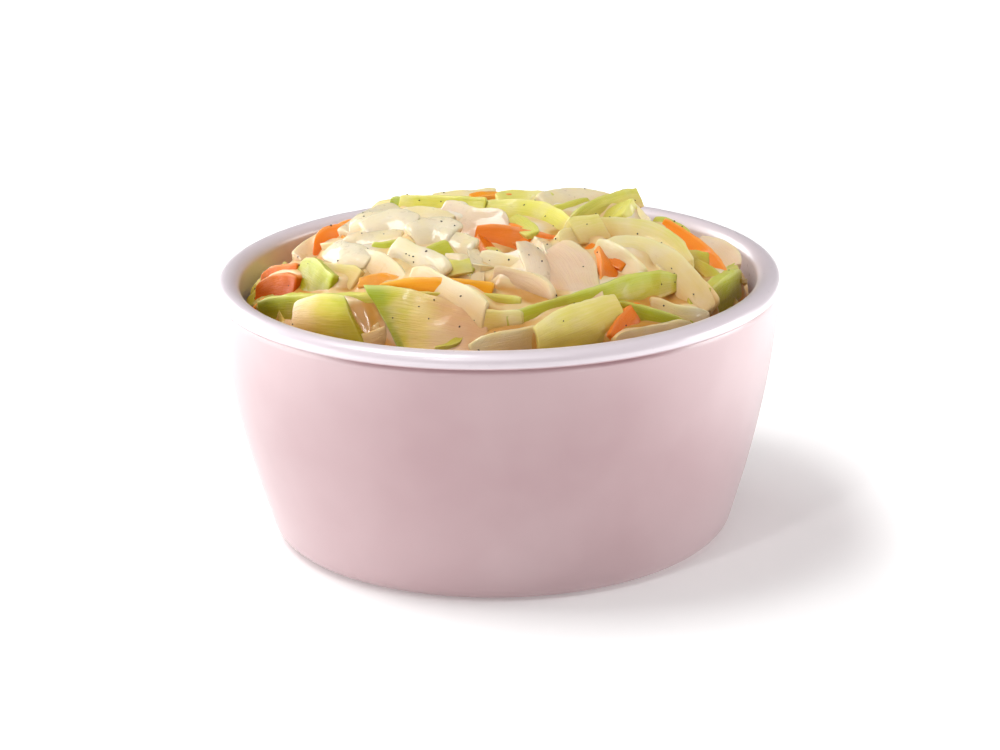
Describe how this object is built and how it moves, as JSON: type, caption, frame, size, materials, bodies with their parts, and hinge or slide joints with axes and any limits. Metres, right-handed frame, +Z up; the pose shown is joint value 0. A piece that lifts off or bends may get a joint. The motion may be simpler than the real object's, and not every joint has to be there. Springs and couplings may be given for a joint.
{
  "type": "coleslaw in a small round pot",
  "caption": "Small round glazed pot with a rolled lip, heaped above it with creamy dressed cabbage and carrot shreds, standing on its foot ring.",
  "frame": {"origin": "centre of the pot's foot, on the surface that it stands on", "axes": "+Z up along the pot's own axis, -Y towards the shown front of the heap, +X to its right"},
  "size_m": [0.102, 0.102, 0.0592],
  "materials": {
    "pot_glaze": "satin pale dusty pink, lilac-white and glossier at the lip",
    "dressing": "wet, creamy, soft uneven gloss",
    "white_cabbage": "wet, cream to pale green",
    "green_cabbage": "wet, lime green with pale ends",
    "carrot": "wet, orange",
    "pepper": "ground, near black"
  },
  "bodies": {
    "root": {"pot": "pot_glaze", "coleslaw": "dressing"}
  },
  "joints": []
}
